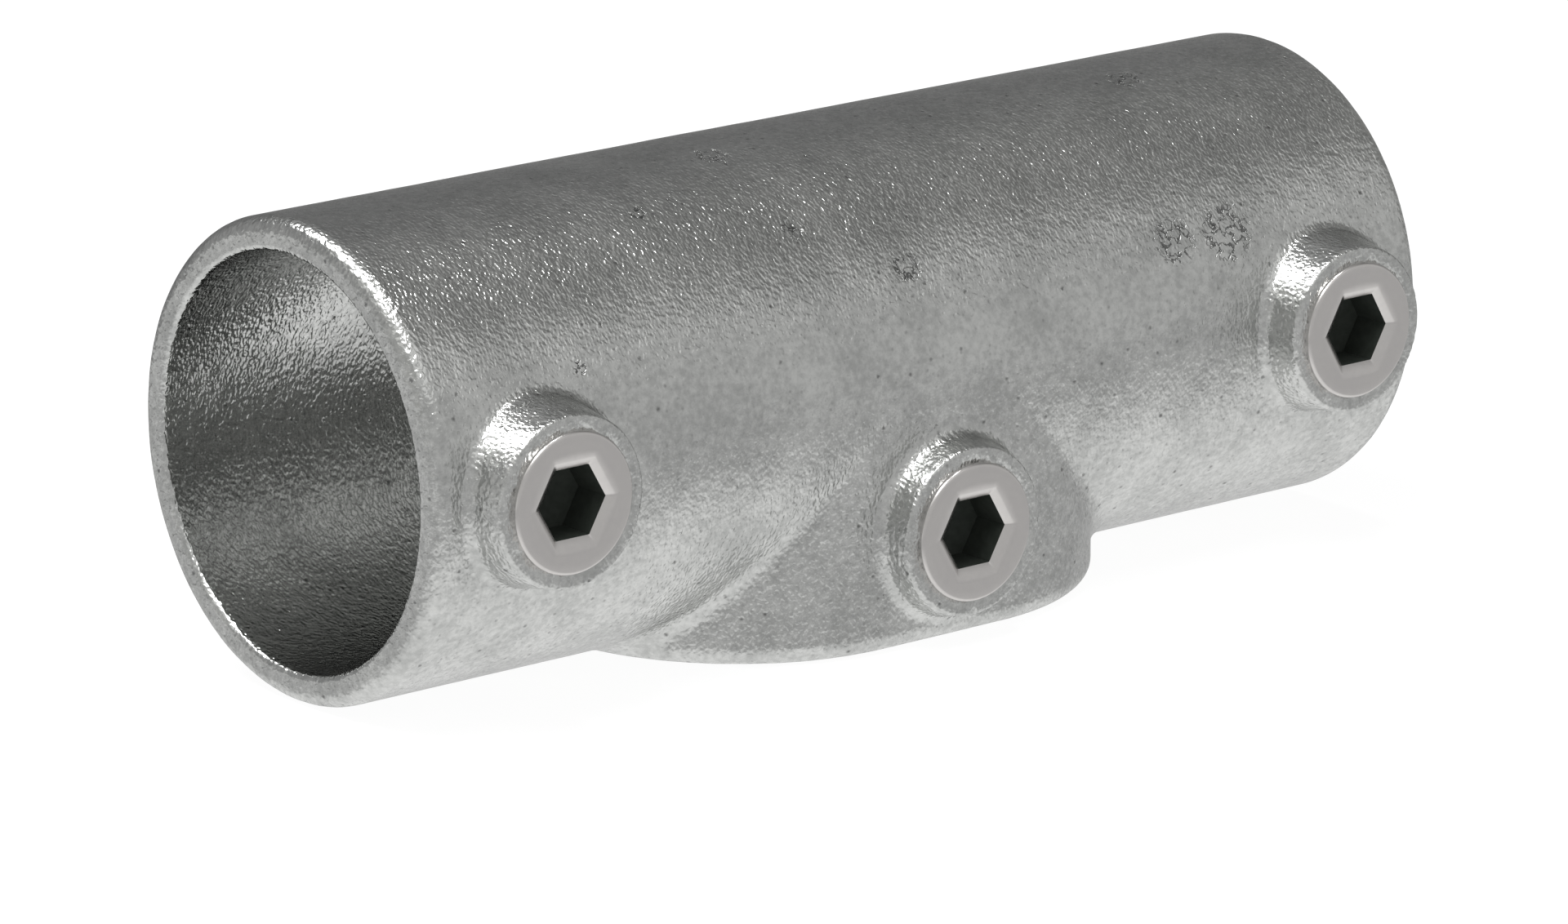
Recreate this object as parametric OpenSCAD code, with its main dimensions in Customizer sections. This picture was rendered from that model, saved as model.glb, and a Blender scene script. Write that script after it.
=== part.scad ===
// Clamp tee: a cast sleeve open at both ends, with an oblong socket below it whose bore
// is cleared for a lean either way, and three socket set screws alike.
// X runs along the sleeve, Z is up, and the set screws face -Y.
// The origin is on the sleeve's axis, halfway along it.

/* [Sleeve] */
// Diameter of the sleeve's bore, and width of the socket's
bore_d = 49; // [43.1:0.1:61]
// Length of the sleeve, end to end
sleeve_len = 150; // [140:1:220]
// Wall of the casting round its bores
wall = 4; // [3.5:0.25:6]
// Rounding of the outer edge at each end of the sleeve
lip_round = 2; // [0.5:0.25:2.5]
// Rounding of the edge where each bore opens
mouth_edge = 0.75; // [0.25:0.25:1]

/* [Branch socket] */
// Distance between the centres of the socket's two round ends
socket_spread = 18; // [12:1:24]
// Furthest lean that the socket's bore is cleared for, from the vertical
branch_lean = 45; // [30:1:45]
// Height above the socket's rim of the point that the lean is taken about
lean_centre_rise = 0.25; // [0.25:0.25:3]
// Rounding of the outer edge of the socket's rim
rim_round = 2.5; // [1:0.25:3]
// Radius of the fillet between the socket's ends and the sleeve
socket_fillet = 3.5; // [2:0.25:5]

/* [Screw bosses] */
// Distance of the two sleeve screws from the ends of the sleeve
screw_inset = 15; // [13.5:0.5:20]
// Depth of the branch screw's axis below the sleeve's axis
branch_screw_drop = 14.5; // [14:0.25:15]
// Radius of a boss at its face
boss_face_r = 10.1; // [9.8:0.1:10.6]
// Radius of a boss at its foot
boss_foot_r = 10.7; // [10.7:0.1:11.2]
// Height of the sleeve bosses above the sleeve
sleeve_boss_h = 4.8; // [3.5:0.05:6]
// Height of the branch boss above the socket's cheek
branch_boss_h = 4; // [3.5:0.05:6]
// Rounding of the edge of a boss's face
boss_edge = 0.25; // [0.25:0.25:0.75]
// Radius of the fillet round the foot of a boss
boss_fillet = 1.25; // [0.5:0.25:1.5]

/* [Set screws] */
// Outside diameter of the screw's thread
screw_d = 16.66; // [12.7:0.01:17]
// Gap round the screw in its threaded hole, on the radius
thread_gap = 0.05; // [0.03:0.01:0.1]
// How far a screw stands out of its boss
screw_proud = 0.6; // [0.2:0.1:2]
// Rounding of the edge of the screw's head
screw_edge = 0.45; // [0.2:0.05:0.75]
// Width across the flats of the hexagon socket
key_size = 8.2; // [6:0.1:10]
// Depth of the hexagon socket
key_depth = 5.5; // [3:0.25:6]
// Depth of the sloping edge round the hexagon's mouth
key_bevel_depth = 0.6; // [0.3:0.1:0.8]
// Width of the sloping edge round the hexagon's mouth
key_bevel_width = 0.9; // [0.5:0.1:1.2]
// How far the branch screw's tip stops short of the socket's bore
tip_back = 0.15; // [0.1:0.05:0.5]
// Diameter of the cup in the screw's tip
cup_d = 9; // [7:0.25:10]
// Depth of the cup in the screw's tip
cup_depth = 1.2; // [0.5:0.1:1.5]
// Height of the bevel that leads the tip into its thread
tip_bevel = 1; // [0.5:0.1:1.5]

/* [Hidden] */

// Fine enough that every circle is drawn round
$fn = 96;

// Cutters run this far past what they cut
past = 1;
// Fillets reach this far under the surfaces that they join
sink = 0.05;
// How far inside the corner a fillet's hidden edge lies
corner_sink = 0.3;
// Points across each fillet; an even number keeps its edges off the crease that it fills
fillet_points = 6;
// Points round the edge of a boss's face
edge_points = 5;
// Sections round the fillet of a sleeve boss
boss_fillet_steps = 48;

bore_r = bore_d / 2;
sleeve_r = bore_r + wall;
half_len = sleeve_len / 2;
socket_end_x = socket_spread / 2;

screw_r = screw_d / 2;
screw_hole_r = screw_r + thread_gap;
screw_x = half_len - screw_inset;
sleeve_boss_top = sleeve_r + sleeve_boss_h;
branch_boss_top = sleeve_r + branch_boss_h;
// Bosses are drawn from this far out, inside the wall
boss_root = bore_r + wall / 4;
// Radius to a hexagon's corners for one unit of radius to its flats
hex_corner = 1 / cos(30);
key_r = key_size / 2 * hex_corner;
// Slope of the shallow cone at the bottom of the key's socket
key_cone_slope = 16;
key_cone = key_size / 2 * tan(key_cone_slope);
// The lowest boss sets the length of all three screws
screw_len = wall + min(sleeve_boss_h, branch_boss_h) + screw_proud - tip_back;

// The socket's fillet stays this far above the round of its rim
rim_clear = 0.3;
fillet_floor = sleeve_r - rim_round - rim_clear;
// The fillet starts this many degrees after the point where the rim leaves no room for it
fillet_start = 2;
// Angles round the socket's end between which its fillet runs, measured from the sleeve's direction
socket_fillet_from = acos(fillet_floor / sleeve_r) + fillet_start;
socket_fillet_to = 72;
socket_fillet_step = 3;
// Each end of the socket's fillet dives this far into the casting
fillet_bury = 0.3;

ZINC = [0.62, 0.62, 0.61];
STEEL = [0.66, 0.64, 0.63];

// Where a ball touches as it rolls in a corner: c is its centre, r its radius, a and b point
// from the centre to the two surfaces, and w goes from 0 on the first to 1 on the second
function ball_point(c, r, a, b, w) =
    let (d = a * cos(90 * w) + b * sin(90 * w)) c + d * (r / norm(d));

// One section of a fillet: the arc, with each end a little under its surface, then a point
// inside the corner; deep moves all of it towards the corner
function fillet_section(centre, r, a, b, deep = 0) =
    let (c = centre + (a + b) * (deep / norm(a + b)))
    [for (i = [0 : fillet_points - 1])
        let (w = i / (fillet_points - 1), under = w == 0 || w == 1 ? sink : 0)
        ball_point(c, r + under, a, b, w),
     c + (a + b) * (r / (1 + a * b) + corner_sink)];

// A solid swept through sections that all have the same number of points
module skin(sections, closed = false) {
    rings = len(sections);
    n = len(sections[0]);
    walls = [for (k = [0 : rings - (closed ? 1 : 2)], i = [0 : n - 1])
        let (here = k * n, next = ((k + 1) % rings) * n, j = (i + 1) % n)
        each [[here + i, next + i, next + j], [here + i, next + j, here + j]]];
    caps = closed ? [] : [[for (i = [0 : n - 1]) i],
                          [for (i = [n - 1 : -1 : 0]) (rings - 1) * n + i]];
    polyhedron([for (s = sections) each s], concat(walls, caps));
}

// Stands a shape that was drawn up the Z axis on the -Y side of the point at x, z
module facing_front(x, z) {
    translate([x, 0, z]) rotate([90, 0, 0]) children();
}

// Draws a flat shape on both sides of the XZ plane and runs it from one end of the socket to the other
module along_cheeks() {
    for (side = [0, 1]) mirror([0, side, 0])
        rotate([90, 0, 90]) linear_extrude(socket_spread, center = true) children();
}

// Turns a flat shape about the axis of each of the socket's round ends
module round_socket_ends() {
    for (side = [-1, 1]) translate([side * socket_end_x, 0, 0]) rotate_extrude() children();
}

// A rectangle from the axis outwards, with a round of radius r on its outer corner at the top
module round_cornered(w, h, r) {
    square([w - r, h]);
    square([w, h - r]);
    translate([w - r, h - r]) circle(r);
}

// What a bore that opens at height h takes off the edge of its mouth, drawn from the axis outwards
module mouth_cut(h) {
    translate([bore_r - past, h - mouth_edge]) square([past, mouth_edge + past]);
    difference() {
        translate([bore_r, h - mouth_edge]) square(mouth_edge);
        translate([bore_r + mouth_edge, h - mouth_edge]) circle(mouth_edge);
    }
}

// Sleeve

module sleeve_body() {
    rotate([0, 90, 0]) rotate_extrude() {
        round_cornered(sleeve_r, half_len, lip_round);
        mirror([0, 1]) round_cornered(sleeve_r, half_len, lip_round);
    }
}

module sleeve_bore() {
    rotate([0, 90, 0]) {
        cylinder(h = sleeve_len + 2 * past, r = bore_r, center = true);
        for (side = [0, 1]) mirror([0, 0, side]) rotate_extrude() mouth_cut(half_len);
    }
}

// Branch socket

// The socket's cheeks, round ends and rim, drawn downwards from the sleeve's axis
module socket_body() {
    mirror([0, 0, 1]) {
        round_socket_ends() round_cornered(sleeve_r, sleeve_r, rim_round);
        along_cheeks() round_cornered(sleeve_r, sleeve_r, rim_round);
    }
}

// Radius of the ball that rolls round the socket's end and stays above the rim's round
function rim_ball_r(t) = min(socket_fillet, fillet_floor / cos(t) - sleeve_r);

function socket_fillet_at(t, deep = 0) =
    let (r = rim_ball_r(t), reach = sleeve_r + r)
    fillet_section([socket_end_x + reach * cos(t), -reach * sin(t), -reach * cos(t)], r,
                   [-cos(t), sin(t), 0], [0, sin(t), cos(t)], deep);

module socket_fillets() {
    sections = [
        socket_fillet_at(socket_fillet_from, fillet_bury),
        for (t = [socket_fillet_from + socket_fillet_step / 2 : socket_fillet_step : socket_fillet_to])
            socket_fillet_at(t),
        socket_fillet_at(socket_fillet_to + socket_fillet_step, fillet_bury)
    ];
    for (side = [0, 1], face = [0, 1]) mirror([side, 0, 0]) mirror([0, face, 0]) skin(sections);
}

// The oblong bore, its rounded mouth, and the room to lean either way
module socket_pocket() {
    mirror([0, 0, 1]) {
        round_socket_ends() {
            square([bore_r, sleeve_r + past]);
            mouth_cut(sleeve_r);
        }
        along_cheeks() {
            square([bore_r, sleeve_r + past]);
            mouth_cut(sleeve_r);
        }
    }
    for (side = [0, 1]) mirror([side, 0, 0]) leaning_clearance();
}

// The socket's bore at its furthest lean, cut off at the sleeve's axis
module leaning_clearance() {
    reach = sleeve_r / cos(branch_lean) + bore_r;
    intersection() {
        translate([0, 0, lean_centre_rise - sleeve_r]) rotate([0, branch_lean, 0])
            cylinder(h = 2 * reach, r = bore_r, center = true);
        translate([0, 0, -reach]) cube(2 * reach, center = true);
    }
}

// Screw bosses

// A boss drawn up from inside the wall to its face, tapering above the fillet at its foot
module boss(top) {
    taper_from = sleeve_r + boss_fillet;
    taper = atan((boss_foot_r - boss_face_r) / (top - taper_from));
    edge_x = boss_face_r + boss_edge * (tan(taper) - 1 / cos(taper));
    rotate_extrude() polygon([
        [0, boss_root],
        [boss_foot_r, boss_root],
        [boss_foot_r, taper_from],
        for (i = [0 : edge_points - 1])
            let (a = taper + (90 - taper) * i / (edge_points - 1))
            [edge_x + boss_edge * cos(a), top + boss_edge * (sin(a) - 1)],
        [0, top]
    ]);
}

// The fillet round a boss on the sleeve follows the sleeve's curve
function sleeve_boss_fillet_at(u) =
    let (out = boss_foot_r + boss_fillet, reach = sleeve_r + boss_fillet,
         z = out * sin(u), y = -sqrt(reach * reach - z * z))
    fillet_section([out * cos(u), y, z], boss_fillet, [-cos(u), 0, -sin(u)], [0, -y, -z] / reach);

module sleeve_boss(x) {
    facing_front(x, 0) boss(sleeve_boss_top);
    translate([x, 0, 0])
        skin([for (k = [0 : boss_fillet_steps - 1]) sleeve_boss_fillet_at(-360 * k / boss_fillet_steps)], closed = true);
}

// The branch boss stands on the socket's flat cheek, so the fillet round it is a plain ring
module branch_boss() {
    out = boss_foot_r + boss_fillet;
    ring_top = sleeve_r + boss_fillet;
    facing_front(0, -branch_screw_drop) {
        boss(branch_boss_top);
        rotate_extrude() difference() {
            translate([0, boss_root]) square([out, ring_top - boss_root]);
            translate([out, ring_top]) circle(boss_fillet);
        }
    }
}

module screw_hole(x, z) {
    facing_front(x, z) translate([0, 0, bore_r / 2]) cylinder(h = 2 * sleeve_r, r = screw_hole_r);
}

module casting() color(ZINC) {
    difference() {
        union() {
            sleeve_body();
            socket_body();
            socket_fillets();
            for (side = [-1, 1]) sleeve_boss(side * screw_x);
            branch_boss();
        }
        sleeve_bore();
        socket_pocket();
        for (side = [-1, 1]) screw_hole(side * screw_x, 0);
        screw_hole(0, -branch_screw_drop);
    }
}

// Set screws

// A screw drawn up from its tip at z = 0, with the key's socket in its top
module set_screw() {
    difference() {
        rotate_extrude() difference() {
            round_cornered(screw_r, screw_len, screw_edge);
            polygon([[-past, -past], [-past, cup_depth], [0, cup_depth], [cup_d / 2, 0], [cup_d / 2, -past]]);
            translate([screw_r, 0]) polygon([[-tip_bevel - past, -past], [past, tip_bevel + past], [past, -past]]);
        }
        translate([0, 0, screw_len - key_depth]) {
            cylinder(h = key_depth + past, r = key_r, $fn = 6);
            mirror([0, 0, 1]) cylinder(h = key_cone, r1 = key_size / 2, r2 = 0);
        }
        translate([0, 0, screw_len - key_bevel_depth])
            cylinder(h = 2 * key_bevel_depth, r1 = key_r, r2 = key_r + 2 * key_bevel_width * hex_corner, $fn = 6);
    }
}

// A set screw in the boss at x, z whose face is at top
module placed_screw(x, z, top) color(STEEL) {
    facing_front(x, z) translate([0, 0, top + screw_proud - screw_len]) set_screw();
}

module set_screw_left() { placed_screw(-screw_x, 0, sleeve_boss_top); }

module set_screw_right() { placed_screw(screw_x, 0, sleeve_boss_top); }

module set_screw_branch() { placed_screw(0, -branch_screw_drop, branch_boss_top); }

casting();
set_screw_left();
set_screw_right();
set_screw_branch();
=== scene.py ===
"""Looks for the clamp tee: a galvanised casting with its cast skin, and three steel set screws.

X runs along the sleeve, Z is up, and the set screws face -Y. Every length is in metres.
The two main shapes, casting and set screw, are worked out by node trees from the sizes below.
"""

import math

import bpy
from mathutils import Matrix, Vector


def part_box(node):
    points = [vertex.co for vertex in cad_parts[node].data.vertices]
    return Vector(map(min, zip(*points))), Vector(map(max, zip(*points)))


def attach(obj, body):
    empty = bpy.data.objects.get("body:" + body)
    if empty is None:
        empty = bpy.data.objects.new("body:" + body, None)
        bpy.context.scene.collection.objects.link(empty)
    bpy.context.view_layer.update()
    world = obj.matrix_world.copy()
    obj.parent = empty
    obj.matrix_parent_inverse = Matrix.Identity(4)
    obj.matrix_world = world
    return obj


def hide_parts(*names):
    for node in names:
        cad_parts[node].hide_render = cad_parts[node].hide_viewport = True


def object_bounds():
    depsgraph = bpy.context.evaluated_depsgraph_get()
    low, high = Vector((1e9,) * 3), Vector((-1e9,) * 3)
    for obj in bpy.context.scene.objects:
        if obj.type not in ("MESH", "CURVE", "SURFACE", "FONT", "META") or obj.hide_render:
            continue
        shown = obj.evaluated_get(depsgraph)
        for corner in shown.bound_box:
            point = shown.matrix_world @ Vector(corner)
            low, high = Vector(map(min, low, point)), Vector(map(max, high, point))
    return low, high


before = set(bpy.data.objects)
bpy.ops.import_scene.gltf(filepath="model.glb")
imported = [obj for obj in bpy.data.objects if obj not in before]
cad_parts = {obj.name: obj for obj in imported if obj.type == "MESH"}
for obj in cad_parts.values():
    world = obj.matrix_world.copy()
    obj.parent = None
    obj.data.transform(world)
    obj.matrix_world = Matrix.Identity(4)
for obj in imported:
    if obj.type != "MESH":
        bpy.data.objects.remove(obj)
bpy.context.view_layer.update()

MM = 0.001
# Keeps a divisor off zero
TINY = 1e-7
# Corners that lie this close become one
WELD = TINY * 10
TRIANGLE_LIMIT = 195_000
# How often a new mesh is drawn on to the surface that it stands for
DRAWN_ON = 3

# Sizes that the frame gives
_, casting_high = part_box("casting")
SCREWS = {name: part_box(name) for name in ("set_screw_left", "set_screw_right", "set_screw_branch")}
sleeve_screw_low, sleeve_screw_high = SCREWS["set_screw_right"]
branch_screw_low, branch_screw_high = SCREWS["set_screw_branch"]

SLEEVE_R = casting_high.y
HALF_LENGTH = casting_high.x
WALL = 4 * MM
# How far a screw's face stands out of its boss
SCREW_PROUD = 0.6 * MM
SCREW_R = (sleeve_screw_high.x - sleeve_screw_low.x) / 2
SCREW_LENGTH = sleeve_screw_high.y - sleeve_screw_low.y
# The holes end between the crests and the roots of the thread, so that no gap shows
HOLE_INSET = 0.3 * MM

# The casting's form: a name for each size that the node tree takes
CASTING_SIZES = {
    "Sleeve radius": SLEEVE_R,
    "Half length": HALF_LENGTH,
    "Bore radius": SLEEVE_R - WALL,
    "Lip round": 2 * MM,
    "Mouth edge": 0.75 * MM,
    "Half spread": 9 * MM,
    "Rim round": 2.5 * MM,
    "Socket fillet": 3.5 * MM,
    "Bore ridge round": 1 * MM,
    "Lean": math.radians(45),
    "Lean centre": 0.25 * MM - SLEEVE_R,
    "Sleeve screw X": (sleeve_screw_low.x + sleeve_screw_high.x) / 2,
    "Branch screw Z": (branch_screw_low.z + branch_screw_high.z) / 2,
    "Boss foot radius": 10.7 * MM,
    "Boss face radius": 10.1 * MM,
    "Boss edge": 0.25 * MM,
    "Boss fillet": 1.25 * MM,
    "Sleeve boss top": -sleeve_screw_low.y - SCREW_PROUD,
    "Branch boss top": -branch_screw_low.y - SCREW_PROUD,
    "Hole radius": SCREW_R - HOLE_INSET,
    "Hole edge": 0.02 * MM,
}

# A set screw, measured from its face, which is its outer end
SCREW_SIZES = {
    "Radius": SCREW_R,
    "Length": SCREW_LENGTH,
    "Head edge": 0.45 * MM,
    "Key size": 8.2 * MM,
    "Key depth": 5.5 * MM,
    "Key cone": 1.18 * MM,
    "Bevel depth": 0.6 * MM,
    "Bevel width": 0.97 * MM,
    "Cup radius": 4.5 * MM,
    "Cup depth": 1.2 * MM,
    "Tip bevel": 1 * MM,
    "Thread pitch": 1.337 * MM,
    "Thread depth": 0.8 * MM,
    "Thread start": 1.4 * MM,
}
# Faces round a screw, and along its thread
SCREW_COLUMNS = 144
THREAD_ROWS = 72
# How flat and how round the thread's crests are, as shares of its depth
THREAD_FLAT, THREAD_ROUND = 0.12, 0.2
# The slope of the key socket's edge where it leaves the face, as a share of its mean slope
BEVEL_START = 0.75
# How far from the axis the painted shade inside the key socket reaches, as a share of half the key size
RECESS_SHADE_REACH = 1.2
# Edges of a screw that turn by more than this are sharp
SHARP_ANGLE = math.radians(35)
# Relief fades in over this distance from a screw's seat
SEAT_FADE = 0.8 * MM
# Places on the casting with ash marks, and how far each reaches, in millimetres
ASH_MARKS = (
    ((-2.8, -23.5, 16.2), 2.2),
    ((37.5, -25.5, 13.2), 3.4),
    ((45.8, -25.3, 13.0), 4.2),
    ((-17.0, -5.0, 28.0), 2.4),
    ((47.0, -5.4, 28.0), 2.6),
    ((-52.6, -25.5, 12.8), 1.0),
    ((-30.0, 26.0, 11.0), 3.6),
    ((52.0, 22.0, -17.0), 2.8),
    ((8.0, 18.5, 21.5), 2.4),
    ((-44.0, -3.0, -28.2), 3.0),
    ((-15.9, -18.5, 21.7), 1.5),
    ((-34.2, -12.8, 25.5), 1.3),
)

# Node trees


class Field:
    """A value that a node tree works out, so that a formula reads as it is written."""

    def __init__(self, socket):
        self.socket = socket

    def __add__(self, other):
        return calc("ADD", self, other)

    def __sub__(self, other):
        return calc("SUBTRACT", self, other)

    def __mul__(self, other):
        return calc("MULTIPLY", self, other)

    def __truediv__(self, other):
        return calc("DIVIDE", self, other)

    def __radd__(self, other):
        return calc("ADD", other, self)

    def __rsub__(self, other):
        return calc("SUBTRACT", other, self)

    def __rmul__(self, other):
        return calc("MULTIPLY", other, self)

    def __rtruediv__(self, other):
        return calc("DIVIDE", other, self)

    def __neg__(self):
        return self * -1.0

    def __abs__(self):
        return calc("ABSOLUTE", self)


def tree_of(*values):
    return next(v.socket.id_data for v in values if isinstance(v, Field))


def add(tree, kind, inputs=None, **settings):
    """Adds a node. inputs maps each socket's name or number to a value or to a Field that feeds it."""
    made = tree.nodes.new(kind)
    for name, value in settings.items():
        setattr(made, name, value)
    for name, value in (inputs or {}).items():
        if isinstance(value, Field):
            tree.links.new(value.socket, made.inputs[name])
        else:
            made.inputs[name].default_value = value
    return made


def calc(operation, *values):
    made = add(tree_of(*values), "ShaderNodeMath", dict(enumerate(values)), operation=operation)
    return Field(made.outputs[0])


def vector_calc(operation, *values, out=0):
    made = add(tree_of(*values), "ShaderNodeVectorMath", operation=operation)
    for i, value in enumerate(values):
        socket = made.inputs["Scale"] if operation == "SCALE" and i == 1 else made.inputs[i]
        if isinstance(value, Field):
            made.id_data.links.new(value.socket, socket)
        else:
            socket.default_value = value
    return Field(made.outputs[out])


def split(vector):
    return [Field(s) for s in add(tree_of(vector), "ShaderNodeSeparateXYZ", {0: vector}).outputs]


def combine(x, y, z):
    return Field(add(tree_of(x, y, z), "ShaderNodeCombineXYZ", {0: x, 1: y, 2: z}).outputs[0])


def lower(a, b):
    return calc("MINIMUM", a, b)


def higher(a, b):
    return calc("MAXIMUM", a, b)


def below(a, b):
    """1 where a is less than b, else 0."""
    return calc("LESS_THAN", a, b)


def pick(flag, if_one, if_zero):
    return if_zero + flag * (if_one - if_zero)


def hypot(a, b):
    return calc("SQRT", a * a + b * b)


def ramp(value, start, end, low=0.0, high=1.0):
    """Goes smoothly from low to high as value goes from start to end."""
    made = add(tree_of(value), "ShaderNodeMapRange", {0: value, 1: start, 2: end, 3: low, 4: high},
               interpolation_type="SMOOTHSTEP")
    return Field(made.outputs[0])


def noise(point, size, detail=2.0, roughness=0.5, distortion=0.0):
    """Soft random values round 0.5, in lumps of about the given size."""
    made = add(tree_of(point), "ShaderNodeTexNoise", {
        "Vector": point, "Scale": 1.0 / size,
        "Detail": detail, "Roughness": roughness, "Distortion": distortion})
    return Field(made.outputs[0])


def spots(point, spacing, radius):
    """1 in the middle of round spots that lie at random, fading to 0 at their edges."""
    made = add(tree_of(point), "ShaderNodeTexVoronoi", {"Vector": point, "Scale": 1.0 / spacing})
    return ramp(Field(made.outputs["Distance"]), radius / spacing, 0.0)


SOCKET_KINDS = {float: "NodeSocketFloat", int: "NodeSocketInt", tuple: "NodeSocketVector"}


def new_group(name, kind, inputs, outputs):
    """A node group with named sockets. Returns the group, its inputs as Fields and its output sockets."""
    tree = bpy.data.node_groups.new(name, kind)
    for label, default in inputs.items():
        socket_kind = default if isinstance(default, str) else SOCKET_KINDS[type(default)]
        socket = tree.interface.new_socket(label, in_out="INPUT", socket_type=socket_kind)
        if not isinstance(default, str):
            socket.default_value = default
    for label, socket_kind in outputs.items():
        tree.interface.new_socket(label, in_out="OUTPUT", socket_type=socket_kind)
    given = tree.nodes.new("NodeGroupInput").outputs
    result = tree.nodes.new("NodeGroupOutput").inputs
    return tree, {label: Field(given[label]) for label in inputs}, result


def use_group(tree, group, inputs):
    """Places a group in a tree and returns its outputs as Fields."""
    kind = "GeometryNodeGroup" if group.bl_idname == "GeometryNodeTree" else "ShaderNodeGroup"
    placed = tree.nodes.new(kind)
    placed.node_tree = group
    for name, value in inputs.items():
        if isinstance(value, Field):
            tree.links.new(value.socket, placed.inputs[name])
        else:
            placed.inputs[name].default_value = value
    return {s.name: Field(s) for s in placed.outputs}


# Shapes worked out from distances: below zero inside, above zero outside


def inside_both(a, b, r):
    """Distance to what lies in both shapes, with a round of radius r where their surfaces meet."""
    return lower(higher(a, b), -r) + hypot(higher(a + r, 0.0), higher(b + r, 0.0))


def joined(a, b, r, lean=0.0):
    """Distance to two shapes and the fillet that a ball of radius r leaves as it rolls between them.

    lean is the cosine of the angle between the two surfaces' normals.
    """
    u, v = a - r, b - r
    touches_both = below(higher(u - v * lean, v - u * lean), 0.0)
    spread = higher(u * u + v * v - u * v * (2.0 * lean), 0.0) / (1.0 + TINY - lean * lean)
    return pick(touches_both, r - calc("SQRT", spread), lower(a, b))


def casting_distance():
    """Node group: distance from a point to the surface of the casting."""
    tree, given, result = new_group(
        "casting_distance", "GeometryNodeTree", {"Point": (0.0, 0.0, 0.0), **CASTING_SIZES},
        {"Distance": "NodeSocketFloat"})
    radius, bore_r, fillet = given["Sleeve radius"], given["Bore radius"], given["Boss fillet"]
    x, y, z = split(given["Point"])
    x = abs(x)
    from_axis = hypot(y, z)
    under = below(z, 0.0)

    # Sleeve, and the oblong socket under it with its rounded rim
    sleeve = inside_both(from_axis - radius, x - given["Half length"], given["Lip round"])
    past_centre = higher(x - given["Half spread"], 0.0)
    from_spine = hypot(past_centre, y)
    wall, floor = from_spine - radius, -z - radius
    rim = given["Rim round"]
    socket = inside_both(wall, floor, rim)
    wall_share, floor_share = higher(wall + rim, TINY), higher(floor + rim, 0.0)
    lean = (wall_share * y * y / from_spine - floor_share * z) / (
        from_axis * hypot(wall_share, floor_share))
    body = pick(under, joined(sleeve, socket, given["Socket fillet"], lean), sleeve)

    # Screw bosses
    from_sleeve_screw = hypot(x - given["Sleeve screw X"], z)
    from_branch_screw = hypot(x, z - given["Branch screw Z"])
    holes = None
    for from_screw, top, lean in (
        (from_sleeve_screw, given["Sleeve boss top"], z * z / (from_axis * from_sleeve_screw)),
        (from_branch_screw, given["Branch boss top"], 0.0),
    ):
        foot = radius + fillet
        taper = (given["Boss foot radius"] - given["Boss face radius"]) / (top - foot)
        side = from_screw - given["Boss foot radius"] + (-y - foot) * taper
        boss = higher(inside_both(side, -y - top, given["Boss edge"]), y)
        body = joined(body, boss, fillet, lean)
        hole = higher(from_screw - given["Hole radius"], y)
        holes = hole if holes is None else lower(holes, hole)

    # Bores: the sleeve's, the socket's, and the room that the socket leaves for a lean either way
    bore = from_axis - bore_r
    pocket = from_spine - bore_r
    opened = joined(bore, pocket, given["Bore ridge round"], y * y / (from_axis * from_spine))
    rise = abs(z - given["Lean centre"])
    sine, cosine = calc("SINE", given["Lean"]), calc("COSINE", given["Lean"])
    off_lean = x * cosine - rise * sine
    from_lean = hypot(off_lean, y)
    lean = (past_centre * off_lean * cosine + y * y) / (from_spine * from_lean)
    opened = joined(opened, from_lean - bore_r, given["Bore ridge round"], lean)
    bores = pick(under, opened, bore)

    metal = inside_both(body, -bores, given["Mouth edge"])
    metal = inside_both(metal, -holes, given["Hole edge"])
    tree.links.new(metal.socket, result["Distance"])
    return tree


# Geometry trees


def fields_of(tree):
    """The position and the normal of each point of whatever geometry asks."""
    return (Field(tree.nodes.new("GeometryNodeInputPosition").outputs[0]),
            Field(tree.nodes.new("GeometryNodeInputNormal").outputs[0]))


def push(geometry, normal, amount):
    """Moves each point along its normal."""
    return Field(add(tree_of(geometry), "GeometryNodeSetPosition",
                     {"Geometry": geometry, "Offset": vector_calc("SCALE", normal, amount)}).outputs[0])


def finished(geometry, material):
    """Makes a tree's result real geometry, shaded smooth, with its material on it."""
    tree = tree_of(geometry)
    smooth = add(tree, "GeometryNodeSetShadeSmooth", {"Geometry": geometry})
    real = add(tree, "GeometryNodeRealizeInstances", {"Geometry": Field(smooth.outputs[0])})
    return Field(add(tree, "GeometryNodeSetMaterial",
                     {"Geometry": Field(real.outputs[0]), "Material": material}).outputs[0])


def casting_form(distance):
    """Node tree: a closed skin round the casting's metal, drawn on to its surface."""
    tree, given, result = new_group(
        "casting_form", "GeometryNodeTree",
        {"Geometry": "NodeSocketGeometry", **CASTING_SIZES, "Cell": 0.4 * MM, "Margin": 2 * MM},
        {"Geometry": "NodeSocketGeometry"})
    point, normal = fields_of(tree)
    form = {name: given[name] for name in CASTING_SIZES}
    away = use_group(tree, distance, {"Point": point, **form})["Distance"]

    margin, cell = given["Margin"], given["Cell"]
    reach_x = given["Half length"] + margin
    front = given["Sleeve boss top"] + margin
    back = given["Sleeve radius"] + margin
    cells = [calc("CEIL", span / cell) for span in (reach_x * 2.0, front + back, back * 2.0)]
    volume = add(tree, "GeometryNodeVolumeCube", {
        "Density": -away, "Background": -1.0,
        "Min": combine(-reach_x, -front, -back), "Max": combine(reach_x, back, back),
        "Resolution X": cells[0], "Resolution Y": cells[1], "Resolution Z": cells[2]})
    skin = add(tree, "GeometryNodeVolumeToMesh", {"Volume": Field(volume.outputs[0]), "Threshold": 0.0})
    geometry = Field(skin.outputs[0])
    for _ in range(DRAWN_ON):
        geometry = push(geometry, normal, -away)
    tree.links.new(geometry.socket, result["Geometry"])
    return tree


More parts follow.
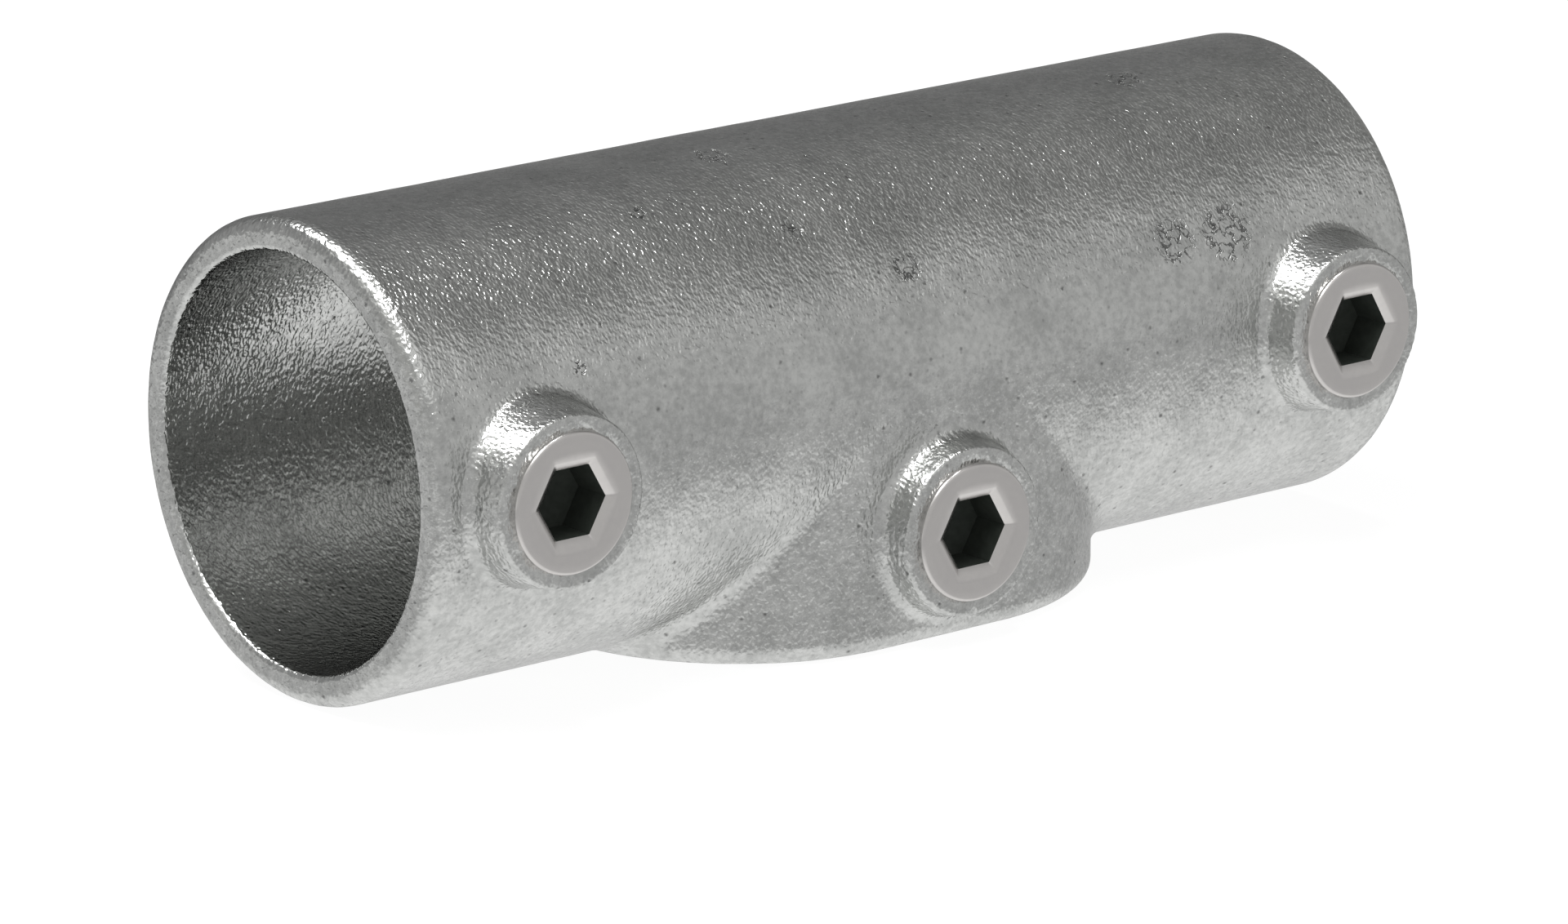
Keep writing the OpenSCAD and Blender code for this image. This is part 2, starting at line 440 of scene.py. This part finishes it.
def cast_relief():
    """Node tree: small moves of the surface, as sand and zinc leave them, and flat seats at the screws."""
    tree, given, result = new_group(
        "cast_relief", "GeometryNodeTree",
        {"Geometry": "NodeSocketGeometry", "Material": "NodeSocketMaterial",
         "Wave length": 17 * MM, "Wave height": 0.16 * MM,
         "Lump length": 3.2 * MM, "Lump height": 0.07 * MM,
         "Sleeve screw X": CASTING_SIZES["Sleeve screw X"],
         "Branch screw Z": CASTING_SIZES["Branch screw Z"],
         "Seat radius": CASTING_SIZES["Hole radius"]},
        {"Geometry": "NodeSocketGeometry"})
    point, normal = fields_of(tree)
    x, y, z = split(point)
    waves = (noise(point, given["Wave length"], detail=1.0) - 0.5) * given["Wave height"]
    lumps = (noise(point, given["Lump length"], detail=2.0) - 0.5) * given["Lump height"]
    from_screw = lower(hypot(abs(x) - given["Sleeve screw X"], z), hypot(x, z - given["Branch screw Z"]))
    seat = higher(ramp(from_screw, given["Seat radius"], given["Seat radius"] + SEAT_FADE), below(0.0, y))
    move = (waves + lumps) * seat
    geometry = push(given["Geometry"], normal, move)
    tree.links.new(finished(geometry, given["Material"]).socket, result["Geometry"])
    return tree


def set_screw_form():
    """Node tree: a set screw turned about the Y axis, from its key socket's bottom to its tip's cup.

    Each band is a grid that is bent round the axis; a ring is a radius and a depth behind the face.
    """
    tree, given, result = new_group(
        "set_screw_form", "GeometryNodeTree",
        {"Geometry": "NodeSocketGeometry", **SCREW_SIZES, "Face": (0.0, 0.0, 0.0),
         "Metal": "NodeSocketMaterial", "Recess shade": "NodeSocketMaterial"},
        {"Geometry": "NodeSocketGeometry"})
    point, _ = fields_of(tree)
    across, along, _ = split(point)
    turn, along = (across + 0.5) * math.tau, along + 0.5
    sixth = math.tau / 6
    hexagon = 1.0 / calc("COSINE", calc("MODULO", turn, sixth) - sixth / 2)

    radius, length, edge = given["Radius"], given["Length"], given["Head edge"]
    key, cup = given["Key size"] * 0.5, given["Cup radius"]
    bottom = given["Key depth"] + given["Key cone"]
    bevel_width, bevel_depth = given["Bevel width"], given["Bevel depth"]
    pitch = given["Thread pitch"]
    thread_from, thread_to = given["Thread start"], length - given["Tip bevel"]

    def between(a, b):
        return a + (b - a) * along

    def cone(*ring_pair):
        (r1, d1), (r2, d2) = ring_pair
        return between(r1, r2), between(d1, d2)

    quarter = along * (math.pi / 2)
    depth = between(thread_from, thread_to)
    lead = calc("FRACT", depth / pitch + turn / math.tau)
    ridge = calc("SMOOTH_MAX", abs(lead - 0.5) * 2.0, THREAD_FLAT, THREAD_ROUND)
    ends = ramp(depth, thread_from, thread_from + pitch) * ramp(depth, thread_to, thread_to - pitch)
    fall = 1.0 - along
    slope = fall * (BEVEL_START + (1 - BEVEL_START) * fall)
    bands = [
        (2, cone((0.0, bottom), (key, given["Key depth"]))),
        (1, cone((key, given["Key depth"]), (key * hexagon, given["Key depth"]))),
        (6, cone((key * hexagon, given["Key depth"]), (key * hexagon, bevel_depth))),
        (5, (between(key, key + bevel_width) * hexagon, bevel_depth * slope)),
        (3, cone(((key + bevel_width) * hexagon, 0.0), (radius - edge, 0.0))),
        (6, (radius - edge + edge * calc("SINE", quarter), edge - edge * calc("COSINE", quarter))),
        (2, cone((radius, edge), (radius, thread_from))),
        (THREAD_ROWS, (radius - ridge * ends * given["Thread depth"], depth)),
        (2, cone((radius, thread_to), (radius - given["Tip bevel"], length))),
        (1, cone((radius - given["Tip bevel"], length), (cup, length))),
        (3, cone((cup, length), (0.0, length - given["Cup depth"]))),
    ]
    joined_bands = tree.nodes.new("GeometryNodeJoinGeometry")
    for rows, (ring_r, ring_depth) in reversed(bands):
        grid = add(tree, "GeometryNodeMeshGrid",
                   {"Vertices X": SCREW_COLUMNS + 1, "Vertices Y": rows + 1})
        ring = combine(ring_r * calc("COSINE", turn), ring_depth, ring_r * calc("SINE", turn))
        place = vector_calc("ADD", ring, given["Face"])
        bent = add(tree, "GeometryNodeSetPosition",
                   {"Geometry": Field(grid.outputs[0]), "Position": place})
        tree.links.new(bent.outputs[0], joined_bands.inputs[0])
    welded = add(tree, "GeometryNodeMergeByDistance",
                 {"Geometry": Field(joined_bands.outputs[0]), "Distance": WELD})
    outside = finished(Field(welded.outputs[0]), given["Metal"])
    # The inside of the key socket, past its bevel, takes the painted-shade material
    off_face = vector_calc("SUBTRACT", point, given["Face"])
    off_x, behind, off_z = split(off_face)
    near_axis = below(hypot(off_x, off_z), key * RECESS_SHADE_REACH)
    painted_shade_zone = below(bevel_depth, behind) * below(behind, bottom) * near_axis
    inside = add(tree, "GeometryNodeSetMaterial",
                 {"Geometry": outside, "Selection": painted_shade_zone, "Material": given["Recess shade"]})
    tree.links.new(inside.outputs[0], result["Geometry"])
    return tree


def in_scene(name, data=None):
    made = bpy.data.objects.new(name, data)
    bpy.context.scene.collection.objects.link(made)
    return made


def grown(name, *steps, limit=None):
    """A plain mesh piece made by node trees that follow each other.

    Each step is a tree and the values of its named inputs. With a limit, the first tree's mesh is thinned
    to that many triangles before the next tree works on it.
    """
    source = in_scene(name + "_source", bpy.data.meshes.new(name + "_source"))
    for i, (tree, values) in enumerate(steps):
        modifier = source.modifiers.new(tree.name, "NODES")
        modifier.node_group = tree
        for item in tree.interface.items_tree:
            if item.in_out == "INPUT" and item.name in values:
                modifier[item.identifier] = values[item.name]
        if limit and i == 0:
            full = source.evaluated_get(bpy.context.evaluated_depsgraph_get()).to_mesh()
            full.calc_loop_triangles()
            thinner = source.modifiers.new("thinner", "DECIMATE")
            thinner.ratio = min(1.0, limit / len(full.loop_triangles))
    mesh = bpy.data.meshes.new_from_object(source.evaluated_get(bpy.context.evaluated_depsgraph_get()))
    bpy.data.objects.remove(source)
    mesh.name = name
    return in_scene(name, mesh)


# Materials

ZINC_DULL, ZINC_BRIGHT = (0.46, 0.467, 0.458, 1), (0.68, 0.686, 0.674, 1)
STEEL_DULL, STEEL_BRIGHT = (0.66, 0.64, 0.63, 1), (0.69, 0.67, 0.655, 1)
# Near-black painted shade for the inside of the key socket, a little paler in random patches
RECESS_SHADE_DARK, RECESS_SHADE_PALE = (0.03, 0.036, 0.03, 1), (0.045, 0.052, 0.045, 1)
MARK_GREY = (0.1, 0.1, 0.1, 1)
# How much of the zinc's colour a mark or a pit takes away, and how deep each goes
MARK_COVER = 0.8
MARK_DEPTH, PIT_DEPTH = 0.3 * MM, 0.08 * MM
# Pits of two sizes: how far apart they lie and how wide they are, and how plain the small ones are
PIT_SPACING, PIT_R = 2.8 * MM, 0.4 * MM
SMALL_PIT_SPACING, SMALL_PIT_R, SMALL_PIT_SHARE = 1.3 * MM, 0.3 * MM, 0.4
# The size of the curls in an ash mark, how far their lines reach from the middle level of the
# noise and where they are full, and the share of a mark's reach in which they are full
CURL_SIZE, CURL_EDGE, CURL_FULL, MARK_FULL = 1.3 * MM, 0.045, 0.015, 0.6
# The levels of the noise between which the patches go from dull to bright
PATCH_LOW, PATCH_HIGH = 0.32, 0.68
# Ripples are shorter along the sleeve than round it
RIPPLE_SQUEEZE = (1.5, 1.0, 1.0)


def zinc_patches():
    """Node group: soft patches where the metal set brighter or duller."""
    tree, given, result = new_group(
        "zinc_patches", "ShaderNodeTree",
        {"Point": (0.0, 0.0, 0.0), "Patch size": 9 * MM, "Fleck size": 0.9 * MM, "Fleck share": 0.55},
        {"Mask": "NodeSocketFloat"})
    point = given["Point"]
    patches = noise(point, given["Patch size"], detail=3.0, roughness=0.6)
    flecks = noise(point, given["Fleck size"], detail=3.0, roughness=0.6)
    mask = patches + (flecks - patches) * given["Fleck share"]
    tree.links.new(ramp(mask, PATCH_LOW, PATCH_HIGH).socket, result["Mask"])
    return tree


def cast_grain():
    """Node group: the height of a rippled skin, in metres."""
    tree, given, result = new_group(
        "cast_grain", "ShaderNodeTree",
        {"Point": (0.0, 0.0, 0.0), "Ripple size": 0.55 * MM, "Ripple depth": 0.13 * MM,
         "Swell size": 1.5 * MM, "Swell depth": 0.06 * MM},
        {"Height": "NodeSocketFloat"})
    point = given["Point"]
    run_round = vector_calc("MULTIPLY", point, RIPPLE_SQUEEZE)
    ripples = noise(run_round, given["Ripple size"], detail=0.5, roughness=0.5, distortion=0.3)
    swells = noise(point, given["Swell size"], detail=0.0)
    height = ripples * given["Ripple depth"] + swells * given["Swell depth"]
    tree.links.new(height.socket, result["Height"])
    return tree


def new_material(name, metallic=1.0):
    """A material, its shader node and the point being shaded."""
    material = bpy.data.materials.new(name)
    material.use_nodes = True
    tree = material.node_tree
    shader = tree.nodes["Principled BSDF"]
    shader.inputs["Metallic"].default_value = metallic
    return material, shader, Field(tree.nodes.new("ShaderNodeTexCoord").outputs["Object"])


def feed(shader, **inputs):
    """Links Fields to a shader's sockets, or sets plain values on them."""
    for name, value in inputs.items():
        socket = shader.inputs[name.replace("_", " ")]
        if isinstance(value, Field):
            shader.id_data.links.new(value.socket, socket)
        else:
            socket.default_value = value


def mixed(flag, if_zero, if_one):
    """A colour between two colours."""
    made = add(tree_of(flag), "ShaderNodeMix", {0: flag, 6: if_zero, 7: if_one}, data_type="RGBA")
    return Field(made.outputs[2])


def bumped(height):
    """The normal that a height in metres gives."""
    made = add(tree_of(height), "ShaderNodeBump", {"Height": height, "Distance": 1.0, "Strength": 1.0})
    return Field(made.outputs[0])


def ash_marks(point):
    """1 on the curly lines of ash and dross in the zinc, which lie close together in a few places."""
    near = None
    for place, reach in ASH_MARKS:
        middle = tuple(c * MM for c in place)
        away = vector_calc("DISTANCE", point, middle, out=1)
        here = ramp(away, reach * MM, reach * MARK_FULL * MM)
        near = here if near is None else higher(near, here)
    level = noise(point, CURL_SIZE, detail=2.0, distortion=0.5)
    return ramp(abs(level - 0.5), CURL_EDGE, CURL_FULL) * near


def zinc(patches, grain):
    material, shader, point = new_material("hot_dip_zinc")
    tree = material.node_tree
    mask = use_group(tree, patches, {"Point": point})["Mask"]
    height = use_group(tree, grain, {"Point": point})["Height"]
    marks = ash_marks(point)
    pits = higher(spots(point, PIT_SPACING, PIT_R),
                  spots(point, SMALL_PIT_SPACING, SMALL_PIT_R) * SMALL_PIT_SHARE)
    skin = mixed(mask, ZINC_DULL, ZINC_BRIGHT)
    height = height - marks * MARK_DEPTH - pits * PIT_DEPTH
    feed(shader, Base_Color=mixed(higher(marks, pits) * MARK_COVER, skin, MARK_GREY),
         Roughness=ramp(mask, 0.0, 1.0, 0.19, 0.15), Normal=bumped(height))
    return material


def plated_steel(patches, grain):
    material, shader, point = new_material("plated_steel")
    tree = material.node_tree
    mask = use_group(tree, patches, {"Point": point, "Patch size": 3 * MM})["Mask"]
    height = use_group(tree, grain, {"Point": point, "Ripple size": 1.5 * MM, "Ripple depth": 0.001 * MM,
                                     "Swell depth": 0.001 * MM})["Height"]
    feed(shader, Base_Color=mixed(mask, STEEL_DULL, STEEL_BRIGHT),
         Roughness=ramp(mask, 0.0, 1.0, 0.25, 0.21), Normal=bumped(height))
    return material


# Painted shade: a dull near-black material that stands in for the shade inside a set screw's key socket
def painted_shade_recess(patches):
    material, shader, point = new_material("key_socket_painted_shade", metallic=0.0)
    mask = use_group(material.node_tree, patches, {"Point": point, "Patch size": 2 * MM})["Mask"]
    feed(shader, Base_Color=mixed(mask, RECESS_SHADE_DARK, RECESS_SHADE_PALE), Roughness=0.6, Specular_IOR_Level=0.2)
    return material


patches, grain = zinc_patches(), cast_grain()
hot_dip_zinc = zinc(patches, grain)
steel, key_socket_painted_shade = plated_steel(patches, grain), painted_shade_recess(patches)

# Pieces

casting = grown("casting_skin", (casting_form(casting_distance()), {}),
                (cast_relief(), {"Material": hot_dip_zinc}), limit=TRIANGLE_LIMIT)
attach(casting, "root")
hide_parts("casting")

screw_form = set_screw_form()
for name, (low, high) in SCREWS.items():
    face = ((low.x + high.x) / 2, low.y, (low.z + high.z) / 2)
    screw = grown(name + "_threaded", (screw_form, {"Face": face, "Metal": steel, "Recess shade": key_socket_painted_shade}))
    screw.data.set_sharp_from_angle(angle=SHARP_ANGLE)
    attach(screw, "root")
    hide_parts(name)

# Floor, light and camera

FLOOR_SIZE = 8
# How much of the floor's look comes from the lamps, with their shadow, and how bright the rest shines,
# so that both together come to white
SHADOW_SHARE = 0.2
FLOOR_WHITE = 1.15
# The world's greys in front, between and behind, and where it is darkest
FRONT_GREY, MIDDLE_GREY, BACK_GREY = (0.56, 0.56, 0.555, 1), (0.295, 0.295, 0.29, 1), (0.2, 0.2, 0.2, 1)
DARKEST_SIDE = (0.0, 0.9, 0.44)
# The world below the horizon: its tint, and how bright it is at its edge and straight down
LOWER_TINT = (1, 1, 0.995, 1)
LOWER_EDGE, LOWER_MIDDLE = 0.49, 0.93
# The camera's place in millimetres, how far it looks down, its turn about Z in degrees, and its lens
CAMERA_PLACE = (-625.47, -755.65, 259.73)
CAMERA_DOWN, CAMERA_TURN = 15.54, -39.531
CAMERA_LENS, CAMERA_SENSOR = 195.98, 36


def pale_floor():
    """White to the camera, apart from the object's shadow."""
    material, shader, _ = new_material("pale_floor", metallic=0.0)
    tree = material.node_tree
    feed(shader, Base_Color=(0.8, 0.8, 0.8, 1), Roughness=0.9)
    path = tree.nodes.new("ShaderNodeLightPath").outputs
    shown = higher(Field(path["Is Camera Ray"]), Field(path["Is Transmission Ray"]))
    white = add(tree, "ShaderNodeEmission", {"Color": (1, 1, 1, 1), "Strength": FLOOR_WHITE})
    shared = add(tree, "ShaderNodeMixShader", {0: shown * (1 - SHADOW_SHARE)})
    tree.links.new(shader.outputs[0], shared.inputs[1])
    tree.links.new(white.outputs[0], shared.inputs[2])
    tree.links.new(shared.outputs[0], tree.nodes["Material Output"].inputs["Surface"])
    return material


floor_mesh = bpy.data.meshes.new("floor")
half = FLOOR_SIZE / 2
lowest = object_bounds()[0][2]
corners = [(x, y, lowest) for x, y in ((-half, -half), (half, -half), (half, half), (-half, half))]
floor_mesh.from_pydata(corners, [], [(0, 1, 2, 3)])
floor_mesh.materials.append(pale_floor())
floor = in_scene("floor", floor_mesh)
# Metal shows the lower half of the world in the floor's place, which is brightest straight down
floor.visible_glossy = False


def strip_lamp(name, direction, length, width, radiance):
    """A lamp a metre off, long along Y. radiance is how bright it looks, where 1 is white."""
    lamp = bpy.data.lights.new(name, "AREA")
    lamp.shape = "RECTANGLE"
    lamp.size, lamp.size_y = width, length
    lamp.energy = radiance * math.pi * length * width
    placed = in_scene(name, lamp)
    back = Vector(direction).normalized()
    side = Vector((0, 1, 0)).cross(back).normalized()
    placed.matrix_world = Matrix((side, back.cross(side), back)).transposed().to_4x4()
    placed.location = back


strip_lamp("overhead_strip", (-0.37, 0.15, 0.92), length=1.2, width=0.34, radiance=6.5)
strip_lamp("overhead_spot", (0.1, -0.12, 0.985), length=0.24, width=0.07, radiance=20)

world = bpy.data.worlds.new("studio")
bpy.context.scene.world = world
world.use_nodes = True
sky = world.node_tree
direction = Field(sky.nodes.new("ShaderNodeTexCoord").outputs["Generated"])
towards_dark = vector_calc("DOT_PRODUCT", direction, DARKEST_SIDE, out=1)
light_to_mid = mixed(ramp(towards_dark, -0.38, 0.1), FRONT_GREY, MIDDLE_GREY)
sky_colour = mixed(ramp(towards_dark, 0.45, 0.8), light_to_mid, BACK_GREY)
across, behind, up = split(direction)
# High up the sky is dimmer to the right, and low down it is brighter at the far left
slope = 1.0 + (ramp(across, 1.1, 0.126, 0.2, 1.8) - 1.0) * ramp(up, 0.5, 0.72)
sky_strength = slope * (1.0 + ramp(across, 0.3, -0.5, 0.0, 0.8) * ramp(behind, -0.6, 0.1))
# Behind, the lower half starts further down
under = ramp(up + ramp(behind, 0.3, 0.9) * 0.15, 0.02, -0.2)
sky_colour = mixed(under, sky_colour, LOWER_TINT)
sky_strength = pick(under, ramp(up, -0.2, -0.8, LOWER_EDGE, LOWER_MIDDLE), sky_strength)
path = sky.nodes.new("ShaderNodeLightPath").outputs
seen = higher(Field(path["Is Camera Ray"]), Field(path["Is Transmission Ray"]))
background = sky.nodes["Background"].inputs
sky.links.new(mixed(seen, sky_colour, (1, 1, 1, 1)).socket, background["Color"])
sky.links.new(pick(seen, 1.0, sky_strength).socket, background["Strength"])

camera = in_scene("camera", bpy.data.cameras.new("camera"))
camera.data.lens = CAMERA_LENS
camera.data.sensor_width = CAMERA_SENSOR
camera.location = Vector(CAMERA_PLACE) * MM
camera.rotation_euler = (math.radians(90 - CAMERA_DOWN), 0, math.radians(CAMERA_TURN))
bpy.context.scene.camera = camera

bpy.context.scene.view_settings.view_transform = "Standard"
